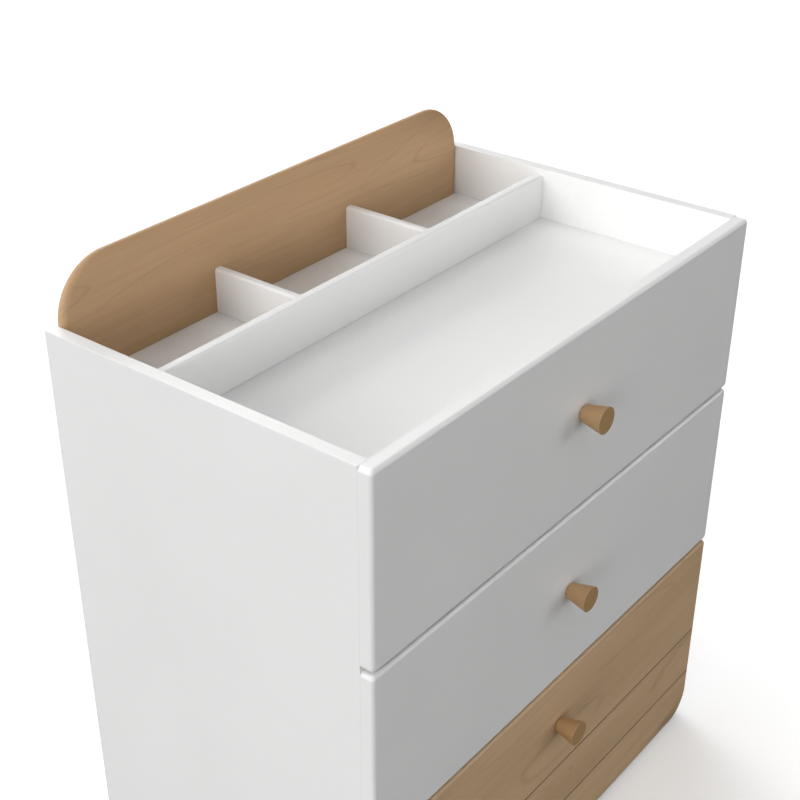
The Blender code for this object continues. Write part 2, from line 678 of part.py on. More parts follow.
drawer(
    "top_drawer", TOP_FRONT_LOW, SIDE_TOP, UPPER_RAIL_MIDDLE + half_rail, TRAY_FLOOR_UNDERSIDE,
    small_corner, KNOB_DROPS[0], white_drawer,
)
drawer(
    "middle_drawer", MIDDLE_FRONT_LOW, MIDDLE_FRONT_TOP, LOWER_RAIL_MIDDLE + half_rail,
    UPPER_RAIL_MIDDLE - half_rail, small_corner, KNOB_DROPS[1], white_drawer,
)
bottom_front, bottom_carrier = drawer(
    "bottom_drawer", FRONT_FLOOR_GAP, BOTTOM_FRONT_TOP, BOTTOM_TOP, LOWER_RAIL_MIDDLE - half_rail,
    large_corner, KNOB_DROPS[2], oak_drawer,
)
cut_v_grooves("bottom_drawer", bottom_front, BOTTOM_FRONT_TOP, bottom_carrier)
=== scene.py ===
import math

import bpy
import numpy as np
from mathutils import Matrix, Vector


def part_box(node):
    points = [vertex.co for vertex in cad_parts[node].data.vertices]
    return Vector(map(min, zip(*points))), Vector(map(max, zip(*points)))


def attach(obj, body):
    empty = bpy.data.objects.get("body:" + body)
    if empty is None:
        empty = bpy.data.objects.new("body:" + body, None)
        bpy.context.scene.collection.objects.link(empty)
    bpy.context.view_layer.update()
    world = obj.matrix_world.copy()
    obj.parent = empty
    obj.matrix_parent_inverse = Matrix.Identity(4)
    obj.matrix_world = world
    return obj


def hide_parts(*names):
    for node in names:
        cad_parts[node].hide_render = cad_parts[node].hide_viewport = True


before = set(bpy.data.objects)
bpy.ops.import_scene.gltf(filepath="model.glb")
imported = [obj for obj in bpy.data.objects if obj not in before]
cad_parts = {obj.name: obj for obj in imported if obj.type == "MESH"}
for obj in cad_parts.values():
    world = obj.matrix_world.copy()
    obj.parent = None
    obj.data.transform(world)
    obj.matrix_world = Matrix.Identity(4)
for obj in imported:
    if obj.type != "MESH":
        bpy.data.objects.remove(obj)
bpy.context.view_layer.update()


# Side panels
# Two boards of the chest's full height, pressed wood with a white lacquer. Every edge is eased
# by half a millimetre. The dowels that hold the other boards end inside them, so their faces are clean.
EASED = 0.0005
CORNER = 0.0012
INNER_COLUMNS = (0.66, 0.33)
RIM_TURN = 0.05
ROUND_STEPS = 7
quarter = np.linspace(0, math.pi / 2, ROUND_STEPS)


def make_piece(name, points, quads, triangles, normals, finish, body, stands_for):
    """A mesh with the surface's own normals. The signed volume of the tetrahedra from the origin
    to each face tells whether the faces point outwards, and they are turned over if it is negative."""
    halves = np.concatenate([quads[:, [0, 1, 2]], quads[:, [0, 2, 3]], triangles])
    first, second, third = (points[halves[:, corner]] for corner in range(3))
    if np.einsum("ij,ij->i", first, np.cross(second, third)).sum() < 0:
        quads, triangles = quads[:, ::-1], triangles[:, ::-1]
    mesh = bpy.data.meshes.new(name)
    mesh.from_pydata(points.tolist(), [], quads.tolist() + triangles.tolist())
    mesh.polygons.foreach_set("use_smooth", np.ones(len(mesh.polygons), bool))
    mesh.normals_split_custom_set_from_vertices(normals.tolist())
    mesh.materials.append(finish)
    piece = bpy.data.objects.new(name, mesh)
    bpy.context.scene.collection.objects.link(piece)
    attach(piece, body)
    if stands_for:
        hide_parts(*stands_for)
    return piece


def inset_of(a, b, half, low, high, low_corner, high_corner):
    """How far a point lies inside a rectangle whose corners are arcs, and the way out from it. Past
    both arc centres the distance is measured from the arc's centre, elsewhere from the nearer side."""
    corner = np.where(b < (low + high) / 2, low_corner, high_corner)
    past_a = np.abs(a) - (half - corner)
    past_b = np.abs(b - (low + high) / 2) - ((high - low) / 2 - corner)
    beyond = np.hypot(np.maximum(past_a, 0), np.maximum(past_b, 0))
    inset = corner - beyond - np.minimum(np.maximum(past_a, past_b), 0)
    both = (past_a > 0) & (past_b > 0)
    out_a = np.where(both, past_a / np.maximum(beyond, 1e-9), past_a >= past_b)
    out_b = np.where(both, past_b / np.maximum(beyond, 1e-9), past_a < past_b)
    return np.maximum(inset, 0), out_a * np.sign(a), out_b * np.sign(b - (low + high) / 2)


def panel(name, across, up, through, axes, finish, body, corners=(CORNER, CORNER),
          rounding=(EASED, EASED), square_sides=False, square_foot=False, grooves=(), stands_for=None):
    """A flat board. Its face is a height field over rows and columns: a quarter circle near the rim,
    and a V where there is a groove. The rim runs back from the face's edge, rounds over at the rear,
    and closes in the middle of the rear face. A square side or foot keeps its edge while the rest of
    the rim draws in, so its points are scaled towards the middle instead."""
    middle = sum(across) / 2
    half = abs(across[1] - across[0]) / 2
    low, high = up
    low_corner, high_corner = corners
    face_round, rear_round = rounding
    thickness = abs(through[1] - through[0])
    back_way = np.sign(through[1] - through[0])

    turn = 1 - np.cos(quarter)
    arc = 1 - np.cos(np.linspace(0, math.pi / 2, 3 * ROUND_STEPS))
    rise = high - low
    heights = [low_corner * arc, rise - high_corner * arc, rise - face_round * turn]
    heights += [np.linspace(0, rise, 4)] + [height - low + GROOVE_ROWS for height in grooves]
    if not square_foot:
        heights.append(face_round * turn)
    rows = low + np.unique(np.round(np.concatenate(heights), 5))
    rows[-1] = high
    low_arc = np.maximum(low_corner - (rows - low), 0)
    high_arc = np.maximum(high_corner - (high - rows), 0)
    reach = half - low_corner + np.sqrt(np.maximum(low_corner**2 - low_arc**2, 0))
    reach = np.where(high_arc > 0, half - high_corner + np.sqrt(high_corner**2 - high_arc**2), reach)
    reach = np.where((low_arc == 0) & (high_arc == 0), half, reach)[:, None]
    rim = reach - face_round * turn[None, :]
    inner = (reach - face_round) * np.array([INNER_COLUMNS])
    a = np.concatenate([-rim, -inner, 0 * reach, inner[:, ::-1], rim[:, ::-1]], axis=1)
    b = np.broadcast_to(rows[:, None], a.shape)

    wide = half + square_sides
    deep = low - square_foot
    inset, out_a, out_b = inset_of(a, b, wide, deep, high, low_corner, high_corner)
    lean = np.maximum(face_round - inset, 0) / face_round
    depth = face_round * (1 - np.sqrt(1 - lean**2))
    slope = np.zeros_like(depth)
    for height in grooves:
        past = GROOVE_DEPTH * (1 - np.abs(b - height) / GROOVE_HALF_WIDTH)
        soft = np.sqrt(past**2 + GROOVE_ARRIS**2)
        depth = depth + (past + soft) / 2
        slope = slope - np.sign(b - height) * (1 + past / soft) / 2 * GROOVE_DEPTH / GROOVE_HALF_WIDTH
    flat = np.sqrt(1 - lean**2)
    normal = np.stack([lean * out_a, lean * out_b + flat * slope, -flat * back_way], axis=-1)

    count = a.size
    index = np.arange(count).reshape(a.shape)
    corner = index[:-1, :-1].ravel()
    quads = [np.stack([corner, corner + 1, corner + 1 + a.shape[1], corner + a.shape[1]], axis=1)]
    loop = np.concatenate([index[0], index[1:, -1], index[-1, -2::-1], index[-2:0:-1, 0]])
    loop_a, loop_b = a.ravel()[loop], b.ravel()[loop]
    _, edge_a, edge_b = inset_of(loop_a, loop_b, half, low, high, low_corner, high_corner)
    held = (edge_b > -RIM_TURN) | (not square_foot)
    held = held & ((np.abs(edge_a) < RIM_TURN) | (not square_sides))

    rings = [(rear_round * (1 - math.cos(angle)), thickness - rear_round * (1 - math.sin(angle)), angle)
             for angle in quarter]
    all_points = [np.stack([a.ravel(), b.ravel(), depth.ravel()], axis=1)]
    all_normals = [normal.reshape(-1, 3)]
    for inward, back, angle in rings:
        drawn_in = np.where(held, loop_a - inward * edge_a, loop_a * (1 - (not square_sides) * inward / half))
        foot = (not square_foot) * inward
        drawn_down = low + foot + (loop_b - low) * (rise - inward - foot) / rise
        drawn_down = np.where(held, loop_b - inward * edge_b, drawn_down)
        all_points.append(np.stack([drawn_in, drawn_down, 0 * loop_a + back], axis=1))
        all_normals.append(np.stack(
            [math.cos(angle) * edge_a, math.cos(angle) * edge_b, 0 * loop_a + math.sin(angle) * back_way],
            axis=1))
    length = len(loop)
    ring_count = len(all_points) - 1
    starts = [loop] + [count + ring * length + np.arange(length) for ring in range(ring_count)]
    for lower, upper in zip(starts, starts[1:]):
        quads.append(np.stack([lower, upper, np.roll(upper, -1), np.roll(lower, -1)], axis=1))
    last = all_points[-1]
    all_points.append(last.mean(axis=0, keepdims=True))
    all_normals.append(np.array([[0.0, 0.0, back_way]]))
    tip = np.full(length, count + ring_count * length)
    triangles = np.stack([starts[-1], tip, np.roll(starts[-1], -1)], axis=1)

    local = np.concatenate(all_points)
    local_normals = np.concatenate(all_normals)
    points = np.empty_like(local)
    normals = np.empty_like(local)
    points[:, axes[0]] = middle + local[:, 0]
    points[:, axes[1]] = local[:, 1]
    points[:, axes[2]] = through[0] + back_way * local[:, 2]
    normals[:, list(axes)] = local_normals
    return make_piece(name, points, np.concatenate(quads), triangles, normals, finish, body, stands_for)


def spans(node):
    """A CAD node's lowest and highest place along X, Y and Z."""
    low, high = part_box(node)
    return tuple(zip(low, high))


def feed(tree, socket, value):
    """Joins a node's input to another node's output, or sets it to a value."""
    if isinstance(value, bpy.types.NodeSocket):
        tree.links.new(value, socket)
    else:
        socket.default_value = value


def add_node(tree, kind, **inputs):
    """A shader node whose named inputs are set to values or joined to sockets."""
    made = tree.nodes.new(kind)
    for name, value in inputs.items():
        feed(tree, made.inputs[name.replace("_", " ")], value)
    return made


def worked(tree, operation, *values):
    """Values or sockets put through one operation of arithmetic."""
    made = tree.nodes.new("ShaderNodeMath")
    made.operation = operation
    for socket, value in zip(made.inputs, values):
        feed(tree, socket, value)
    return made.outputs["Value"]


def start_finish(name):
    """A new material: its node tree, its shader, and the place on the piece in metres."""
    material = bpy.data.materials.new(name)
    material.use_nodes = True
    tree = material.node_tree
    place = tree.nodes.new("ShaderNodeTexCoord").outputs["Object"]
    return material, tree, tree.nodes["Principled BSDF"], place


def speckle(tree, place, cells, detail=2.0, offset=(0.0, 0.0, 0.0)):
    """Soft noise with that many cells to the metre along each axis."""
    mapped = add_node(tree, "ShaderNodeMapping", Vector=place, Location=offset, Scale=cells)
    return add_node(
        tree, "ShaderNodeTexNoise", Vector=mapped.outputs["Vector"], Scale=1.0, Detail=detail, Roughness=0.55
    ).outputs["Fac"]


def ranged(tree, value, low, high, to_low=0.0, to_high=1.0):
    """The value carried from one range to another, and held at its ends."""
    made = add_node(tree, "ShaderNodeMapRange", Value=value, From_Min=low, From_Max=high,
                    To_Min=to_low, To_Max=to_high)
    return made.outputs["Result"]


def mixed(tree, share, first, second):
    """Two colours mixed, the second by that share."""
    made = tree.nodes.new("ShaderNodeMix")
    made.data_type = "RGBA"
    for socket, value in ((made.inputs[0], share), (made.inputs[6], first), (made.inputs[7], second)):
        feed(tree, socket, value)
    return made.outputs[2]


def relief(tree, shader, height, distance, strength=1.0):
    """Joins a height to the shader as bump of that depth in metres."""
    bump = add_node(tree, "ShaderNodeBump", Strength=strength, Distance=distance, Height=height)
    tree.links.new(bump.outputs["Normal"], shader.inputs["Normal"])


def lacquered_white():
    """Sprayed satin white: a hint of tone drift over a hand's breadth, a fine orange peel."""
    material, tree, shader, place = start_finish("white_lacquer")
    drift = speckle(tree, place, (5.0, 5.0, 5.0))
    tone = mixed(tree, ranged(tree, drift, 0.3, 0.7), (0.865, 0.865, 0.860, 1), (0.885, 0.885, 0.880, 1))
    tree.links.new(tone, shader.inputs["Base Color"])
    haze = speckle(tree, place, (40.0, 40.0, 40.0))
    tree.links.new(ranged(tree, haze, 0.3, 0.7, 0.36, 0.44), shader.inputs["Roughness"])
    relief(tree, shader, speckle(tree, place, (700.0, 700.0, 700.0)), 0.00002)
    return material


white_lacquer = lacquered_white()
for side in ("left", "right"):
    node = "side_panel_" + side
    x, y, z = spans(node)
    panel(node + "_board", y, z, x if side == "left" else x[::-1], (1, 2, 0), white_lacquer, "carcass",
          stands_for=(node,))


# Carcass boards
# The tray floor, the bottom, two rails between the drawers and the plinth join the side panels.
# They are the same lacquered board, dowelled and drawn tight with cam fittings from inside.
def level_board(node):
    """A board that lies flat, with its face up."""
    x, y, z = spans(node)
    panel(node + "_board", x, y, z[::-1], (0, 1, 2), white_lacquer, "carcass",
          stands_for=(node,))


for node in ("tray_floor", "bottom_panel", "front_rail_upper", "front_rail_lower"):
    level_board(node)
x, y, z = spans("plinth")
panel("plinth_board", x, z, y, (0, 2, 1), white_lacquer, "carcass", stands_for=("plinth",))


# Back panel
# A 4 mm sheet of hardboard, painted white on the side that shows, slid into grooves in the side
# panels from below before the bottom goes on. Its pressed surface has a fine pebble.
def painted_hardboard():
    """White paint on pressed fibres: a fine pebble, and faint darker fibres where the paint is thin."""
    material, tree, shader, place = start_finish("white_hardboard")
    fibres = speckle(tree, place, (260.0, 260.0, 260.0), 4.0)
    tone = mixed(tree, ranged(tree, fibres, 0.35, 0.75), (0.80, 0.80, 0.785, 1), (0.74, 0.735, 0.715, 1))
    tree.links.new(tone, shader.inputs["Base Color"])
    shader.inputs["Roughness"].default_value = 0.62
    relief(tree, shader, fibres, 0.00008)
    return material


def dress(node, finish):
    """Gives a CAD node that is shown as it is its finish."""
    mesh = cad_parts[node].data
    mesh.materials.clear()
    mesh.materials.append(finish)


white_hardboard = painted_hardboard()
dress("back_panel", white_hardboard)


# Dividers
# Lacquered boards stood on edge in the tray: a long one in front of the compartments, and two
# short ones between it and the backboard. Their top edges are rounded over by a router.
TOP_EDGE_ROUND = 0.0045
SQUARE = 0.0002
SEAT_GAP = 0.0003
_, y, z = spans("long_divider")
tray_top = spans("tray_floor")[2][1] + SEAT_GAP
between_sides = (spans("side_panel_left")[0][1], spans("side_panel_right")[0][0])
panel("long_divider_board", between_sides, (tray_top, z[1]), y, (0, 2, 1), white_lacquer, "carcass",
      (SQUARE, SQUARE), (TOP_EDGE_ROUND, TOP_EDGE_ROUND), square_sides=True,
      square_foot=True, stands_for=("long_divider",))
for side in ("left", "right"):
    node = "short_divider_" + side
    x, y, z = spans(node)
    panel(node + "_board", y, z, x, (1, 2, 0), white_lacquer, "carcass",
          (SQUARE, SQUARE), (TOP_EDGE_ROUND, TOP_EDGE_ROUND), square_sides=True, square_foot=True,
          stands_for=(node,))


# Backboard
# One oak-veneered board along the back of the tray, its two top corners cut to a large arc and
# its edges rounded over and lipped in oak. The veneer's grain runs along the board, matt oiled.
BACKBOARD_CORNER = 0.084
BACKBOARD_FACE_ROUND = 0.0085
BACKBOARD_REAR_ROUND = 0.005
GROWTH_RINGS = 26.0
KNOT_SHADE = (0.16, 0.09, 0.045, 1)
# Painted shade along the bottom front's V-grooves: how far it reaches either side of a groove, and its
# colour.
PAINTED_SHADE_REACH = 0.0016
GROOVE_PAINTED_SHADE = (0.10, 0.055, 0.025, 1)


def oiled_oak(name, grain, shades, offset=(0.0, 0.0, 0.0), end_grain=None, shaded_grooves=()):
    """Oak under matt oil. The grain axis is stretched, so noise becomes streaks: broad tone patches,
    faint fibres, short dark pores and a few pin knots. Growth lines are the contour lines of a slow
    noise: its height times a count, where the remainder passes a half. At each height in
    shaded_grooves a dark band of painted shade stands in for the shade inside a V-groove."""
    material, tree, shader, place = start_finish(name)

    def cells(along, over):
        """Cells to the metre, few along the grain and many over it."""
        return tuple(along if axis == grain else over for axis in range(3))

    centred = add_node(tree, "ShaderNodeMapping", Vector=place, Location=offset).outputs["Vector"]
    warp = add_node(tree, "ShaderNodeVectorMath", Vector=centred)
    warp.operation = "ADD"
    wander = speckle(tree, centred, cells(1.3, 5.0), 1.0)
    across = add_node(tree, "ShaderNodeVectorMath")
    across.operation = "SCALE"
    across.inputs[0].default_value = tuple(0.0 if axis == grain else 0.05 for axis in range(3))
    tree.links.new(wander, across.inputs["Scale"])
    tree.links.new(across.outputs["Vector"], warp.inputs[1])
    bent = warp.outputs["Vector"]

    light, middle, dark = shades
    bands = speckle(tree, bent, cells(1.6, 14.0), 2.0)
    lines = speckle(tree, bent, cells(3.0, 130.0), 3.0)
    fibres = speckle(tree, bent, cells(14.0, 900.0), 3.0)
    pores = speckle(tree, bent, cells(45.0, 1500.0), 1.0)
    tone = mixed(tree, ranged(tree, bands, 0.30, 0.70), middle, light)
    tone = mixed(tree, ranged(tree, lines, 0.45, 0.75, 0.0, 0.26), tone, dark)
    tone = mixed(tree, ranged(tree, fibres, 0.45, 0.80, 0.0, 0.16), tone, dark)
    tone = mixed(tree, ranged(tree, pores, 0.66, 0.74, 0.0, 0.20), tone, dark)
    slow = speckle(tree, centred, cells(0.9, 7.0), 1.0)
    remainder = worked(tree, "PINGPONG", worked(tree, "MULTIPLY", slow, GROWTH_RINGS), 1.0)
    ring = ranged(tree, remainder, 0.86, 0.99)
    patches = speckle(tree, centred, cells(2.0, 11.0), 1.0, (7.0, 3.0, 5.0))
    shown = ranged(tree, patches, 0.46, 0.62, 0.0, 0.34)
    tone = mixed(tree, worked(tree, "MULTIPLY", ring, shown), tone, dark)
    mapped = add_node(tree, "ShaderNodeMapping", Vector=centred, Scale=cells(7.0, 16.0))
    knots = add_node(tree, "ShaderNodeTexVoronoi", Vector=mapped.outputs["Vector"], Scale=1.0)
    few = add_node(tree, "ShaderNodeSeparateColor", Color=knots.outputs["Color"]).outputs["Red"]
    speck = ranged(tree, knots.outputs["Distance"], 0.035, 0.015)
    knot = worked(tree, "MULTIPLY", speck, ranged(tree, few, 0.86, 0.88))
    tone = mixed(tree, ranged(tree, knot, 0.0, 1.0, 0.0, 0.6), tone, KNOT_SHADE)
    if end_grain:
        start, deeper = end_grain
        height = add_node(tree, "ShaderNodeSeparateXYZ", Vector=place).outputs["XYZ"[grain]]
        tone = mixed(tree, ranged(tree, height, start + 0.0004, start + 0.0001), tone, deeper)
    # Painted shade: a dark band at each groove's height, standing in for the shade inside the V-groove.
    for height in shaded_grooves:
        up = add_node(tree, "ShaderNodeSeparateXYZ", Vector=place).outputs["Z"]
        in_groove_shade = worked(tree, "COMPARE", up, height, PAINTED_SHADE_REACH)
        tone = mixed(tree, ranged(tree, in_groove_shade, 0.0, 1.0, 0.0, 0.9), tone, GROOVE_PAINTED_SHADE)
    tree.links.new(tone, shader.inputs["Base Color"])
    tree.links.new(ranged(tree, lines, 0.3, 0.8, 0.56, 0.50), shader.inputs["Roughness"])
    relief(tree, shader, pores, 0.00005, 0.5)
    return material


BACKBOARD_SHADES = ((0.545, 0.348, 0.185, 1), (0.472, 0.292, 0.150, 1), (0.336, 0.190, 0.087, 1))
VENEER_SHADES = ((0.67, 0.470, 0.285, 1), (0.58, 0.395, 0.230, 1), (0.40, 0.250, 0.130, 1))
backboard_veneer = oiled_oak("backboard_oak", 0, BACKBOARD_SHADES)
x, y, z = spans("backboard")
panel("backboard_panel", x, z, y, (0, 2, 1), backboard_veneer, "carcass",
      (SQUARE, BACKBOARD_CORNER), (BACKBOARD_FACE_ROUND, BACKBOARD_REAR_ROUND), square_foot=True,
      stands_for=("backboard",))


# Wall plate
# A bright zinc-plated steel plate on the backboard's rear, which takes the strap that keeps the
# chest from tipping. Two raised-head screws with a cross recess hold it.
DOME_FALL = 0.75
HEAD_SKIRT = 0.0002
RECESS_ARM = 0.24
RECESS_ARM_SLOPE = 0.12
RECESS_REACH = 0.68
RECESS_END_SLOPE = 0.2
RECESS_DEPTH = 0.8


def plated_steel(name, dull, bright):
    """Bright plate: fine drawing lines along the piece, and a cloudy sheen."""
    material, tree, shader, place = start_finish(name)
    clouds = speckle(tree, place, (60.0, 60.0, 60.0), 3.0)
    drawn = speckle(tree, place, (1800.0, 20.0, 1800.0), 2.0)
    tone = mixed(tree, ranged(tree, clouds, 0.3, 0.7), dull, bright)
    tree.links.new(tone, shader.inputs["Base Color"])
    shader.inputs["Metallic"].default_value = 0.6
    tree.links.new(ranged(tree, drawn, 0.3, 0.7, 0.26, 0.40), shader.inputs["Roughness"])
    relief(tree, shader, drawn, 0.00001)
    return material


def filleted(points, radii, steps=5):
    """A line through the points with an arc at each of those between its ends, and the normals on
    its right. Each arc starts a tangent's length, radius times the tangent of half the turn, before its
    corner, and swings its normal evenly through the turn."""
    points = np.asarray(points, float)
    radii = np.asarray(radii, float)[:, None]
    ways = np.diff(points, axis=0)
    ways = ways / np.linalg.norm(ways, axis=1, keepdims=True)
    before, after = ways[:-1], ways[1:]
    turn = np.arctan2(before[:, 0] * after[:, 1] - before[:, 1] * after[:, 0], (before * after).sum(axis=1))
    hand = np.sign(turn)[:, None]
    start = points[1:-1] - before * radii * np.tan(np.abs(turn) / 2)[:, None]
    angle = np.arctan2(-before[:, 0], before[:, 1])[:, None] + turn[:, None] * np.linspace(0, 1, steps)
    swing = np.stack([np.cos(angle), np.sin(angle)], axis=-1)
    arcs = start[:, None] + (hand * radii)[:, None] * (swing - swing[:, :1])
    line = np.concatenate([points[:1], arcs.reshape(-1, 2), points[-1:]])
    normals = np.concatenate([swing[0, :1], swing.reshape(-1, 2), swing[-1, -1:]])
    return line, normals


def turned(line, normals, place, sides=40):
    """A line of (radius, height) carried round the Y axis, heights running towards the front. Both its
    ends lie on the axis, where a fan closes it. It gives points, quads, triangles and normals."""
    angle = np.linspace(0, 2 * math.pi, sides, endpoint=False)
    round_it = np.stack([np.cos(angle), np.sin(angle)], axis=1)

    def swept(pairs):
        """Pairs of out and forward, carried round."""
        out = pairs[:, None, :1] * round_it
        forward = np.broadcast_to(-pairs[:, None, 1:], (len(pairs), sides, 1))
        return np.concatenate([out[..., :1], forward, out[..., 1:]], axis=-1).reshape(-1, 3)

    inner, inner_normals = line[1:-1], normals[1:-1]
    points = np.concatenate([swept(inner), [[0, -line[0, 1], 0]], [[0, -line[-1, 1], 0]]])
    all_normals = np.concatenate([swept(inner_normals), [[0, -normals[0, 1], 0]], [[0, -normals[-1, 1], 0]]])
    grid = np.arange(len(inner) * sides).reshape(len(inner), sides)
    beside = np.roll(grid, -1, axis=1)
    quads = np.stack([grid[:-1], grid[1:], beside[1:], beside[:-1]], axis=-1).reshape(-1, 4)
    start, end = grid.size, grid.size + 1
    fans = [np.stack([grid[0], beside[0], np.full(sides, start)], axis=1),
            np.stack([grid[-1], np.full(sides, end), beside[-1]], axis=1)]
    return points + np.array(place), quads, np.concatenate(fans), all_normals


def raised_screw(name, place, radius, height, body, towards=1, stands_for=()):
    """A screw's domed head with a cross recess: the dome's height falls off as the square of the
    radius, and the recess is a cross-shaped well whose sides slope in."""
    ring = np.linspace(0, 1, 14)[1:]
    dome = np.stack([ring * radius, height * (1 - DOME_FALL * ring**2)], axis=1)
    line = np.concatenate([[[0, height]], dome, [[radius, -HEAD_SKIRT]], [[0, -HEAD_SKIRT]]])
    ways = np.stack([2 * DOME_FALL * height / radius * ring, np.ones_like(ring)], axis=1)
    ways = ways / np.linalg.norm(ways, axis=1, keepdims=True)
    normals = np.concatenate([[[0, 1]], ways, [[1, 0]], [[0, -1]]])
    points, quads, triangles, normals = turned(line, normals, (0, 0, 0))
    arm = np.minimum(np.abs(points[:, 0]), np.abs(points[:, 2]))
    far = np.hypot(points[:, 0], points[:, 2])
    across_arm = np.clip((RECESS_ARM * radius - arm) / (RECESS_ARM_SLOPE * radius), 0, 1)
    along_arm = np.clip((RECESS_REACH * radius - far) / (RECESS_END_SLOPE * radius), 0, 1)
    points[:, 1] += across_arm * along_arm * height * RECESS_DEPTH * (points[:, 1] < 0)
    flip = np.array([1, towards, 1])
    return make_piece(name, points * flip + np.array(place), quads, triangles, normals * flip,
                      zinc_steel, body, stands_for)


zinc_steel = plated_steel("zinc_steel", (0.56, 0.575, 0.59, 1), (0.68, 0.69, 0.70, 1))
PLATE_PROUD = 0.0004
PLATE_CORNER = 0.003
PLATE_EDGE_ROUND = 0.0004
HEAD_SUNK = 0.0001
HEAD_HEIGHT = 0.0006
x, y, z = spans("wall_anchor_plate")
plate_rear = y[1] + PLATE_PROUD
panel("wall_plate", x, z, (plate_rear, y[0]), (0, 2, 1), zinc_steel, "carcass",
      (PLATE_CORNER, PLATE_CORNER), (PLATE_EDGE_ROUND, SQUARE), stands_for=("wall_anchor_plate",))
for side in ("left", "right"):
    node = "wall_anchor_screw_" + side
    x, _, z = spans(node)
    raised_screw(node + "_head", (sum(x) / 2, plate_rear - HEAD_SUNK, sum(z) / 2), (x[1] - x[0]) / 2,
                 HEAD_HEIGHT, "carcass", -1, stands_for=(node,))


# Glides
# Four turned plastic feet, one near each lower corner, pressed by their pins into the side
# panels. They keep the boards off a wet floor.
def moulded_plastic():
    """Dark moulded plastic with a fine spark-eroded grain."""
    material, tree, shader, place = start_finish("glide_plastic")
    grain = speckle(tree, place, (2500.0, 2500.0, 2500.0))
    tone = mixed(tree, grain, (0.020, 0.020, 0.021, 1), (0.030, 0.030, 0.031, 1))
    tree.links.new(tone, shader.inputs["Base Color"])
    shader.inputs["Roughness"].default_value = 0.55
    relief(tree, shader, grain, 0.00004)
    return material


glide_plastic = moulded_plastic()
for side in ("left", "right"):
    for end in ("front", "rear"):
        dress(f"glide_{side}_{end}", glide_plastic)


# Drawer fronts
# Three fronts that close on the carcass edges and meet with a shadow gap. The upper two are lacquered
# board with softly rounded faces, the lowest is oak veneer with two V-grooves that mark it off as planks,
# and its lower corners are cut to a large arc.
DRAWERS = ("top_drawer", "middle_drawer", "bottom_drawer")
FRONT_FACE_ROUND = 0.0055
FRONT_REAR_SPARE = 0.0003
FRONT_CORNER = 0.0075
BOTTOM_FRONT_CORNER = 0.054
GROOVE_HALF_WIDTH = 0.0015
GROOVE_DEPTH = 0.0022
GROOVE_ARRIS = 0.0002
GROOVE_ROWS = np.array([-26, -19, -15, -11, -4, 0, 4, 11, 15, 19, 26]) * 0.0001
GROOVE_DROPS = (0.1905, 0.2865)
GROOVE_HEIGHTS = [spans("bottom_drawer_front")[2][1] - drop for drop in GROOVE_DROPS]
for drawer in DRAWERS[:2]:
    node = drawer + "_front"
    x, y, z = spans(node)
    panel(node + "_board", x, z, (y[0], y[1] + FRONT_REAR_SPARE), (0, 2, 1), white_lacquer, drawer,
          (FRONT_CORNER, FRONT_CORNER), (FRONT_FACE_ROUND, SQUARE), stands_for=(node,))
# The veneer's dark bands at the two groove heights are painted shade.
front_veneer = oiled_oak("bottom_front_oak", 0, VENEER_SHADES, (0.37, 0.0, 0.61), shaded_grooves=GROOVE_HEIGHTS)
x, y, z = spans("bottom_drawer_front")
panel("bottom_drawer_front_board", x, z, (y[0], y[1] + FRONT_REAR_SPARE), (0, 2, 1), front_veneer,
      "bottom_drawer", (BOTTOM_FRONT_CORNER, FRONT_CORNER), (FRONT_FACE_ROUND, SQUARE),
      grooves=GROOVE_HEIGHTS, stands_for=("bottom_drawer_front",))


# Knobs
# One solid oak knob on each front, turned from a dowel to a cone that widens outwards, so its
# outer face is end grain and darker. A machine screw from inside the drawer holds it.
KNOB_BASE_RADIUS = 0.0122
KNOB_ROUNDS = (0.003, 0.0007)
KNOB_ROUND_STEPS = 8
KNOB_SIDES = 72
KNOB_SHADES = ((0.56, 0.350, 0.170, 1), (0.50, 0.300, 0.138, 1), (0.38, 0.210, 0.085, 1))
KNOB_END_SHADE = (0.43, 0.265, 0.120, 1)
knob_face = spans("top_drawer_knob")[1][0]
knob_oak = oiled_oak("knob_oak", 1, KNOB_SHADES, end_grain=(knob_face, KNOB_END_SHADE))
for drawer in DRAWERS:
    _, y, z = spans(drawer + "_knob")
    radius = (z[1] - z[0]) / 2
    length = y[1] - y[0]
    outline = [(0, 0), (KNOB_BASE_RADIUS, 0), (radius, length), (0, length)]
    line, normals = filleted(outline, KNOB_ROUNDS, KNOB_ROUND_STEPS)
    points, quads, triangles, normals = turned(line, normals, (0.0, y[1], sum(z) / 2), KNOB_SIDES)
    make_piece(drawer + "_knob_turned", points, quads, triangles, normals, knob_oak, drawer,
               (drawer + "_knob",))
    dress(drawer + "_knob_screw", zinc_steel)


# Drawer boxes
# White foil on particle board: two sides and a back, with a hardboard bottom in grooves. Dowels and
# glue hold them to each other, and the front closes the box.
def foiled_board():
    """White melamine foil: a fine pressed grain, a touch duller than the lacquer."""
    material, tree, shader, place = start_finish("drawer_box_foil")
    drift = speckle(tree, place, (8.0, 8.0, 8.0))
    tone = mixed(tree, ranged(tree, drift, 0.3, 0.7), (0.80, 0.80, 0.785, 1), (0.83, 0.83, 0.815, 1))
    tree.links.new(tone, shader.inputs["Base Color"])
    shader.inputs["Roughness"].default_value = 0.5
    relief(tree, shader, speckle(tree, place, (900.0, 300.0, 900.0), 3.0), 0.00003)
    return material


box_foil = foiled_board()
for drawer in DRAWERS:
    for part in ("side_left", "side_right", "back"):
        dress(f"{drawer}_{part}", box_foil)
    dress(drawer + "_bottom", white_hardboard)


# Drawer slides
# A pair of full-extension slides for each drawer, rolled from plated sheet: a member on the carcass, one
# on the drawer, and one between them that travels half as far. Steel balls run in caged rows between them.
for drawer in DRAWERS:
    for side in ("left", "right"):
        for member in ("cabinet", "middle", "drawer"):
            dress(f"{drawer}_slide_{member}_{side}", zinc_steel)

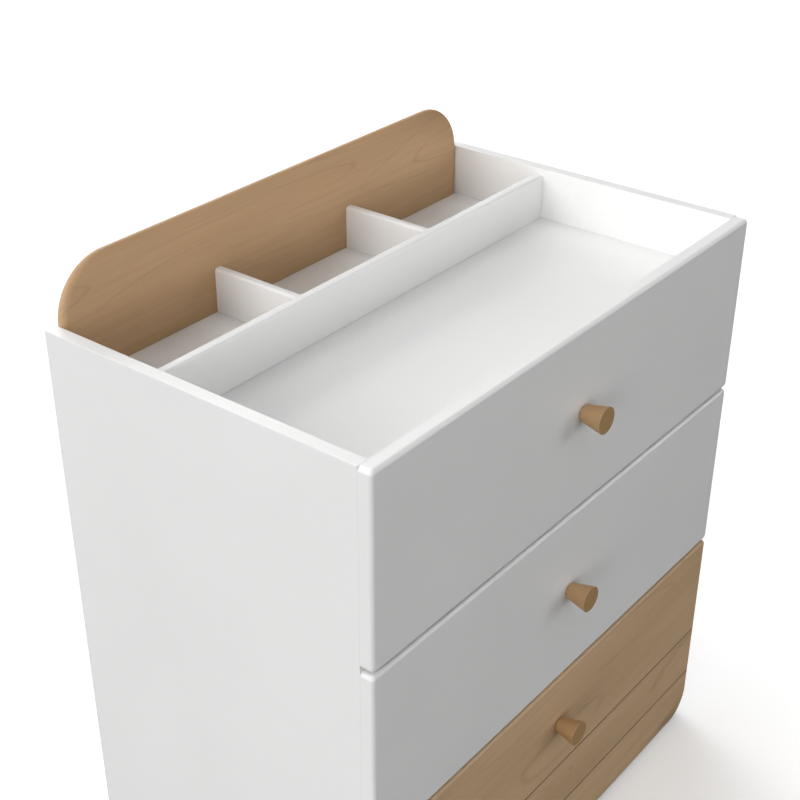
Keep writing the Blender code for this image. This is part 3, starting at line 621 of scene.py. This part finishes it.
BALLS_IN_ROW = 10
BALL_PITCH = 0.0105
CAGE_THICKNESS = 0.0008
BALL_ROWS = (
    # ball radius, height from the slide's middle, distance from the side panel, cage width, first ball
    (0.0028, 0.0184, 0.0055, 0.0046, 0.022),
    (0.00235, 0.0119, 0.0070, 0.0038, -0.118),
)
BALL_SIDES = 8
BALL_STACKS = 6
hardened_steel = plated_steel("bearing_steel", (0.62, 0.62, 0.63, 1), (0.72, 0.72, 0.73, 1))


def ball_row(name, places, radii, body):
    """Balls at those places: a unit ball's points, sine of the polar angle times the circle and its
    cosine along Y, scaled by each radius and moved to each place."""
    polar = np.linspace(0, math.pi, BALL_STACKS + 1)[1:-1]
    line = np.concatenate([[[0, 1]], np.stack([np.sin(polar), np.cos(polar)], axis=1), [[0, -1]]])
    unit, quads, triangles, normals = turned(line, line, (0, 0, 0), BALL_SIDES)
    points = (unit[None] * radii[:, None, None] + places[:, None]).reshape(-1, 3)
    step = (np.arange(len(places)) * len(unit))[:, None, None]
    make_piece(name, points, (quads[None] + step).reshape(-1, 4), (triangles[None] + step).reshape(-1, 3),
               np.tile(normals, (len(places), 1)), hardened_steel, body, ())


for drawer in DRAWERS:
    for side, inwards in (("left", 1), ("right", -1)):
        body = f"{drawer}_runner_{side}"
        wall = spans("side_panel_" + side)[0][side == "left"]
        middle = sum(spans(f"{drawer}_slide_middle_{side}")[2]) / 2
        places, radii = [], []
        for row, (ball, height, off_wall, cage_width, first) in enumerate(BALL_ROWS):
            for way in (-1, 1):
                along = first + BALL_PITCH * np.arange(BALLS_IN_ROW)
                centre = np.array([wall + inwards * off_wall, 0.0, middle + way * height])
                places.append(centre + along[:, None] * np.array([0.0, 1.0, 0.0]))
                radii.append(np.full(BALLS_IN_ROW, ball))
                panel(f"{drawer}_cage_{side}_{row}{'lower' if way < 0 else 'upper'}",
                      (along[0] - BALL_PITCH / 2, along[-1] + BALL_PITCH / 2),
                      (centre[0] - cage_width / 2, centre[0] + cage_width / 2),
                      (centre[2] - CAGE_THICKNESS / 2, centre[2] + CAGE_THICKNESS / 2), (1, 0, 2),
                      zinc_steel, body, (SQUARE, SQUARE), (SQUARE, SQUARE))
        ball_row(f"{drawer}_balls_{side}", np.concatenate(places), np.concatenate(radii), body)


# Studio
# A pale floor that gives off a little light of its own and fades into a white surround. Wide soft
# lights stand low all round, the brightest behind on the right, and one hangs overhead.
FLOOR_RADII = (1.5, 4.0, 25.0)
SURROUND_RADIUS = 40.0
SURROUND_ROWS = 24
STUDIO_SIDES = 96


def studio_surface(name, radii, heights, finish):
    """A line of (radius, height) carried round Z, closed at the middle."""
    angle = np.linspace(0, 2 * math.pi, STUDIO_SIDES, endpoint=False)
    rings = np.stack([
        np.outer(radii, np.cos(angle)), np.outer(radii, np.sin(angle)),
        np.broadcast_to(np.asarray(heights, float)[:, None], (len(radii), STUDIO_SIDES)),
    ], axis=-1)
    grid = np.arange(len(radii) * STUDIO_SIDES).reshape(len(radii), STUDIO_SIDES)
    beside = np.roll(grid, -1, axis=1)
    quads = np.stack([grid[:-1], grid[1:], beside[1:], beside[:-1]], axis=-1).reshape(-1, 4)
    mesh = bpy.data.meshes.new(name)
    mesh.from_pydata(rings.reshape(-1, 3).tolist(), [], quads.tolist() + [grid[0].tolist()])
    mesh.materials.append(finish)
    surface = bpy.data.objects.new(name, mesh)
    bpy.context.scene.collection.objects.link(surface)
    surface.visible_diffuse = False
    surface.visible_glossy = False
    surface.visible_transmission = False
    return surface


floor_paint, tree, shader, place = start_finish("studio_floor")
tone = mixed(tree, speckle(tree, place, (0.8, 0.8, 0.8)), (0.92, 0.92, 0.92, 1), (0.94, 0.94, 0.94, 1))
tree.links.new(tone, shader.inputs["Base Color"])
shader.inputs["Roughness"].default_value = 0.9
shader.inputs["Specular IOR Level"].default_value = 0.0
shader.inputs["Emission Color"].default_value = (1, 1, 1, 1)
shader.inputs["Emission Strength"].default_value = 0.27
studio_surface("studio_floor", FLOOR_RADII, np.zeros(len(FLOOR_RADII)), floor_paint)

surround_paint, _, shader, _ = start_finish("studio_surround")
shader.inputs["Base Color"].default_value = (0, 0, 0, 1)
shader.inputs["Specular IOR Level"].default_value = 0.0
shader.inputs["Emission Color"].default_value = (1, 1, 1, 1)
shader.inputs["Emission Strength"].default_value = 1.0
tilt = np.linspace(math.radians(88), math.radians(-4), SURROUND_ROWS)
surround = studio_surface("studio_surround", SURROUND_RADIUS * np.cos(tilt), SURROUND_RADIUS * np.sin(tilt),
                          surround_paint)
surround.visible_shadow = False

world = bpy.data.worlds.new("studio")
world.use_nodes = True
world.node_tree.nodes["Background"].inputs["Strength"].default_value = 0.0
bpy.context.scene.world = world


def soft_light(name, bearing, height, reach, spread):
    """A far lamp, bearing degrees round from the front by way of the right and height degrees up, as
    wide across as its spread. A white face square to it comes out as bright as its reach."""
    lamp = bpy.data.lights.new(name, "SUN")
    lamp.energy = reach * math.pi
    lamp.angle = math.radians(spread)
    light = bpy.data.objects.new(name, lamp)
    light.rotation_euler = (math.radians(90 - height), 0, math.radians(bearing))
    bpy.context.scene.collection.objects.link(light)


soft_light("left_rear_light", 255, 22, 0.40, 30)
soft_light("left_light", 285, 10, 0.29, 30)
soft_light("front_light", 350, -5, 0.395, 50)
soft_light("front_high_light", 0, 40, 0.05, 40)
soft_light("right_front_light", 45, 12, 0.23, 40)
soft_light("right_rear_light", 150, 10, 0.671, 50)
soft_light("rear_high_light", 180, 50, 0.296, 50)
soft_light("rear_low_light", 215, 10, 0.35, 40)
soft_light("overhead_light", 0, 90, 0.26, 60)

camera_lens = bpy.data.cameras.new("camera")
camera_lens.sensor_width = 36.0
camera_lens.lens = 65.095
camera_lens.shift_x = 0.0362
camera_lens.shift_y = 0.0207
camera_lens.clip_end = 200.0
camera = bpy.data.objects.new("camera", camera_lens)
camera.location = (-1.47414, -1.09483, 1.83745)
camera.rotation_euler = (1.03621, 0.00693, -0.88806)
bpy.context.scene.collection.objects.link(camera)
bpy.context.scene.camera = camera
bpy.context.scene.view_settings.view_transform = "Standard"
